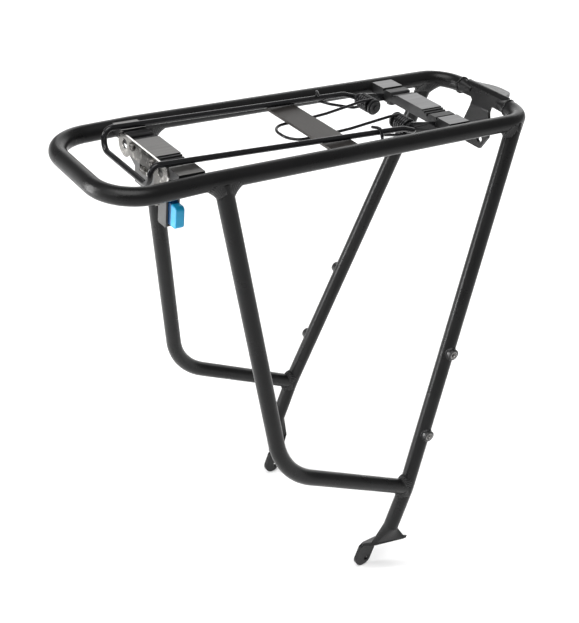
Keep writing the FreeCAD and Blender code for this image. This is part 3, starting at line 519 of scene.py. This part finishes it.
def fillet_weld(name, hosts, start, away, radius, width, lap, seed, full=0.36, wave=1.0, steps=180):
    """A weld fillet round a tube that leaves the host tubes from start, going away.

    For each direction round the tube it finds where the tube's wall comes out of the hosts,
    then lays a slightly hollow bead between the two walls, with ripples along it.
    """
    host = np.array([tuple(p) for line in hosts for p in line])
    start, away = Vector(start), (Vector(away) - Vector(start)).normalized()
    side = away.orthogonal().normalized()
    other = away.cross(side)

    def depth(point):
        gaps = np.linalg.norm(host - np.array(tuple(point)), axis=1)
        nearest = int(np.argmin(gaps))
        return gaps[nearest] - TUBE_R, Vector(host[nearest])

    points = []
    for k in range(steps):
        a = 2 * math.pi * k / steps
        spoke = side * math.cos(a) + other * math.sin(a)
        low, high = 0.0, 26.0
        while high - low > 0.02:
            middle = (low + high) / 2
            if depth(start + spoke * radius + away * middle)[0] > 0:
                high = middle
            else:
                low = middle
        corner = start + spoke * radius + away * high
        out = (corner - depth(corner)[1]).normalized()
        slide = spoke - out * spoke.dot(out)
        if slide.length < 0.25:
            slide = (away - out * away.dot(out)) * -1.0
        slide.normalize()
        lapping = wave * math.cos(a * lap + 0.5 * math.sin(3 * a + seed))
        ripple = 1 + 0.04 * lapping + 0.05 * math.sin(2 * a + seed * 1.7)
        reach = width * ripple
        toe = corner + slide * reach
        gap, near = depth(toe)
        toe -= (toe - near).normalized() * gap
        toe_out = (toe - near).normalized()
        crown = corner + away * reach
        control = corner.lerp((toe + crown) / 2, 2 * full)
        control += (out + spoke).normalized() * (0.12 * lapping)
        ring = [toe - toe_out * 0.5]
        for i in range(6):
            u = i / 5
            ring.append(toe * (1 - u) ** 2 + control * 2 * u * (1 - u) + crown * u ** 2)
        ring.append(crown - spoke * 0.5)
        ring.append(corner - (out + spoke).normalized() * 0.8)
        points += ring
    return new_piece(name, points, grid_faces(steps, 9, True, True), WELD, "frame")


def tube_welds(side, label):
    """The welds of one side's upright, leg and rail. Returns the leg's centreline."""
    deck = [on_side(p, side) for p in deck_line()]
    knee = on_side(KNEE, side)
    leg_top, upright_top = on_side(LEG_TOP, side), on_side(UPRIGHT_TOP, side)
    rail_corner, shank_end = on_side(RAIL_CORNER, side), on_side(SHANK_END, side)
    leg = straight_line(leg_top, knee) + straight_line(knee, shank_end)
    fillet_weld(f"upright_weld_{label}", [deck], upright_top, rail_corner, TUBE_R, 7.0, 34, 1.0)
    fillet_weld(f"leg_weld_{label}", [deck], leg_top, knee, TUBE_R, 6.2, 34, 2.0)
    fillet_weld(f"rail_weld_{label}", [leg], knee, rail_corner, TUBE_R, 4.2, 30, 3.0, full=0.66, wave=2.2)
    return leg


def boss_details(side, label, leg):
    """Each boss's weld, the thread inside it and the bare mouth of its hole."""
    knee, leg_top = on_side(KNEE, side), on_side(LEG_TOP, side)
    for count, height in enumerate(BOSS_HEIGHTS):
        share = (height - KNEE[2]) / (DECK_Z - KNEE[2])
        root = knee.lerp(leg_top, share)
        tip = root + Vector((0, side * BOSS_REACH, 0))
        fillet_weld(f"boss_weld_{label}_{count}", [leg], root, tip, BOSS_R, 1.1, 26, 4.0, full=0.5)
        thread = []
        for k in range(THREAD_TURNS * 24 + 1):
            a = 2 * math.pi * k / 24
            along = BOSS_REACH - 1.0 - THREAD_PITCH * k / 24
            thread.append(root + Vector((math.cos(a) * BOSS_BORE_R, side * along, math.sin(a) * BOSS_BORE_R)))
        points, faces = tube_mesh(thread, THREAD_TOOTH_R, sides=6)
        new_piece(f"boss_thread_{label}_{count}", points, faces, THREAD, "frame")
        inner, rim = BOSS_REACH - MOUTH_DEEP, BOSS_REACH + MOUTH_PROUD
        mouth = [(inner, BOSS_BORE_R - 0.05), (BOSS_REACH - 0.4, BOSS_BORE_R - 0.02),
                 (rim, MOUTH_R), (rim, MOUTH_RIM_R), (inner, MOUTH_RIM_R)]
        lathe(f"boss_mouth_{label}_{count}", mouth, root, (0, side, 0), THREAD, "frame", ring=True)


def bridge_weld(side, label):
    """A wavy bead round the deck tube's open end, where the sheet bridge is let in."""
    ring = []
    for k in range(121):
        a = 2 * math.pi * k / 120
        wave = TUBE_R - 0.15 + 0.12 * math.sin(17 * a + side)
        ring.append(Vector((FRONT_X + math.cos(a) * wave, side * (DECK_END_HALF + 0.35 * math.sin(5 * a)),
                            DECK_Z + math.sin(a) * wave)))
    points, faces = tube_mesh(ring, 0.95, sides=12, domed=False)
    new_piece(f"bridge_weld_{label}", points, faces, WELD, "frame")


for rack_side, side_label in ((1, "left"), (-1, "right")):
    leg_line = tube_welds(rack_side, side_label)
    boss_details(rack_side, side_label, leg_line)
    bridge_weld(rack_side, side_label)


# ---------------------------------------------------------------- clamp spring
def coil_line():
    """An even helix from the top of the coil, going forward, to its bottom, going back."""
    count = int(COIL_TURNS * 40)
    line = []
    for k in range(count + 1):
        turn = COIL_TURNS * k / count
        a = 2 * math.pi * turn
        line.append(on_deck(PIVOT_X + math.sin(a) * COIL_MEAN, COIL_START + COIL_PITCH * turn,
                            PIVOT_UP + math.cos(a) * COIL_MEAN))
    return line


def spring_legs():
    """Both inner legs and the loop behind the middle plate, from coil top to coil top."""
    plate_front = PLATE_X + PLATE_WIDE
    under = 1.0 - SPRING_R - 0.1
    loop_x = PLATE_X - 12.5
    half = [
        on_deck(PIVOT_X, COIL_START, PIVOT_UP + COIL_MEAN),
        on_deck(PIVOT_X - 10, COIL_START, PIVOT_UP + COIL_MEAN),
        on_deck(plate_front + 16, COIL_START - 1.1, under + 1.2),
        on_deck(plate_front - 6, COIL_START - 1.6, under - 0.3),
        on_deck(loop_x, COIL_START - 2.6, under - 1.5),
    ]
    bends = [40.0, 60.0, 60.0, 13.0]
    return rounded_line(half + [on_side(p, -1) for p in reversed(half)], bends + bends[::-1])


def hook_line():
    """The outer leg, which runs back from the coil, under the clamp's wire and over it."""
    outer = COIL_START + COIL_PITCH * COIL_TURNS
    bottom = PIVOT_UP - COIL_MEAN
    share = HOOK_BACK / WIRE_RUN
    bail_up = WIRE_UP_FRONT + (WIRE_UP_TAIL - WIRE_UP_FRONT) * share
    bail_half = WIRE_HALF_FRONT - WIRE_NARROWS * share
    clear = WIRE_R + SPRING_R + 0.5
    return rounded_line([
        on_deck(PIVOT_X, outer, bottom),
        on_deck(PIVOT_X - 8, outer, bottom),
        on_deck(-14, bail_half - 4.0, bail_up - clear - 1.2),
        on_deck(-21, bail_half + clear + 1.0, bail_up - clear - 0.2),
        on_deck(-23, bail_half + clear - 0.4, bail_up + clear + 0.9),
        on_deck(-26, bail_half - 3.0, bail_up + clear - 0.2),
    ], [14.0, 7.0, 2.6, 2.6])


def clamp_spring():
    """The double torsion spring on the frame, and its two hooks, which ride the clamp."""
    coil = coil_line()
    whole = [on_side(p, -1) for p in reversed(coil)] + spring_legs()[::-1][1:-1] + coil
    points, faces = tube_mesh(whole, SPRING_R, domed=False)
    spring = new_piece("clamp_spring_wire", points, faces, WIRE, "frame")
    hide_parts("clamp_spring")
    for label, line in (("left", hook_line()), ("right", [on_side(p, -1) for p in hook_line()])):
        points, faces = tube_mesh(line, SPRING_R)
        new_piece(f"spring_hook_{label}", points, faces, WIRE, "clamp")


clamp_spring()


# ---------------------------------------------------------------- fastener heads
def plate_screws():
    """The lamp plate's two screws: a domed head with a driver recess, and a plain shank."""
    seat_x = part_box("lamp_plate")[0].x / MM
    outline = [(-0.6, 0.1), (-0.6, 1.2), (-1.35, 1.35), (-1.6, 1.7), (-1.5, 2.3), (-1.1, 2.9),
               (-0.45, 3.2), (0.0, 3.2), (1.0, 2.5), (6.0, 2.4)]
    for count, y in enumerate((SCREW_HALF, -SCREW_HALF)):
        seat = on_deck(seat_x, y, SCREW_UP)
        head = lathe(f"plate_screw_{count}", outline, seat, (1, 0, 0), SCREW, "frame")
        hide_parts("plate_screws")


plate_screws()


# ---------------------------------------------------------------- stage, light, camera
def stage_floor():
    """A plain pale floor just below the eyelet tabs."""
    half = 15.0
    level = CAD_LOW[2] - 0.0015
    mesh = bpy.data.meshes.new("floor")
    corners = [(-half, -half, level), (half, -half, level), (half, half, level), (-half, half, level)]
    mesh.from_pydata(corners, [], [(0, 1, 2, 3)])
    floor = bpy.data.objects.new("floor", mesh)
    bpy.context.scene.collection.objects.link(floor)
    t = Tree("pale_floor")
    t.set(Base_Color=t.mix(t.noise(3.0), (0.93, 0.93, 0.93), (0.95, 0.95, 0.95)), Roughness=0.85,
          Specular_IOR_Level=0.2)
    mesh.materials.append(t.material)


def area_light(name, place, target, size, power):
    """A rectangular lamp at a place in metres, facing the target."""
    data = bpy.data.lights.new(name, "AREA")
    data.shape = "RECTANGLE"
    data.size, data.size_y = size
    data.energy = power
    obj = bpy.data.objects.new(name, data)
    bpy.context.scene.collection.objects.link(obj)
    obj.location = place
    obj.rotation_mode = "QUATERNION"
    obj.rotation_quaternion = (Vector(target) - Vector(place)).to_track_quat("-Z", "Y")


def studio():
    """A dim white sky, a wide soft sun and three panels that draw the highlights on the tubes."""
    world = bpy.data.worlds.new("studio")
    bpy.context.scene.world = world
    world.use_nodes = True
    sky = world.node_tree.nodes["Background"]
    sky.inputs["Color"].default_value = (1.0, 1.0, 1.0, 1.0)
    sky.inputs["Strength"].default_value = 0.3
    sun = bpy.data.objects.new("soft_key", bpy.data.lights.new("soft_key", "SUN"))
    sun.data.energy = 2.8
    sun.data.angle = math.radians(50)
    sun.rotation_mode = "QUATERNION"
    sun.rotation_quaternion = Vector((0.35, 0.25, -1.0)).to_track_quat("-Z", "Y")
    bpy.context.scene.collection.objects.link(sun)
    area_light("back_panel", (1.3, 1.6, 1.0), (0.0, 0.0, 0.35), (2.4, 1.3), 16)
    area_light("tail_panel", (-1.25, -0.35, 0.9), (-0.2, 0.0, 0.38), (0.5, 0.3), 2)
    area_light("low_strip", (-1.05, 0.5, 0.42), (0.06, -0.07, 0.3), (0.2, 0.9), 15)


def camera():
    """The viewpoint found from the rack's straight tubes: place, aim and roll."""
    data = bpy.data.cameras.new("camera")
    data.sensor_width = 36.0
    data.sensor_fit = "AUTO"
    data.lens = 63.73
    data.clip_start, data.clip_end = 0.05, 50.0
    obj = bpy.data.objects.new("camera", data)
    bpy.context.scene.collection.objects.link(obj)
    place = Vector((-0.5312, -0.6210, 0.7119))
    aim = Vector((-0.0583, 0.0001, 0.2386))
    ahead = (aim - place).normalized()
    right = ahead.cross(Vector((0, 0, 1))).normalized()
    upward = right.cross(ahead)
    roll = math.radians(5.908)
    across = right * math.cos(roll) + upward * math.sin(roll)
    along = upward * math.cos(roll) - right * math.sin(roll)
    turn = Matrix((across, along, -ahead)).transposed().to_4x4()
    obj.matrix_world = Matrix.Translation(place) @ turn
    bpy.context.scene.camera = obj


stage_floor()
studio()
camera()
bpy.context.scene.view_settings.view_transform = "Standard"
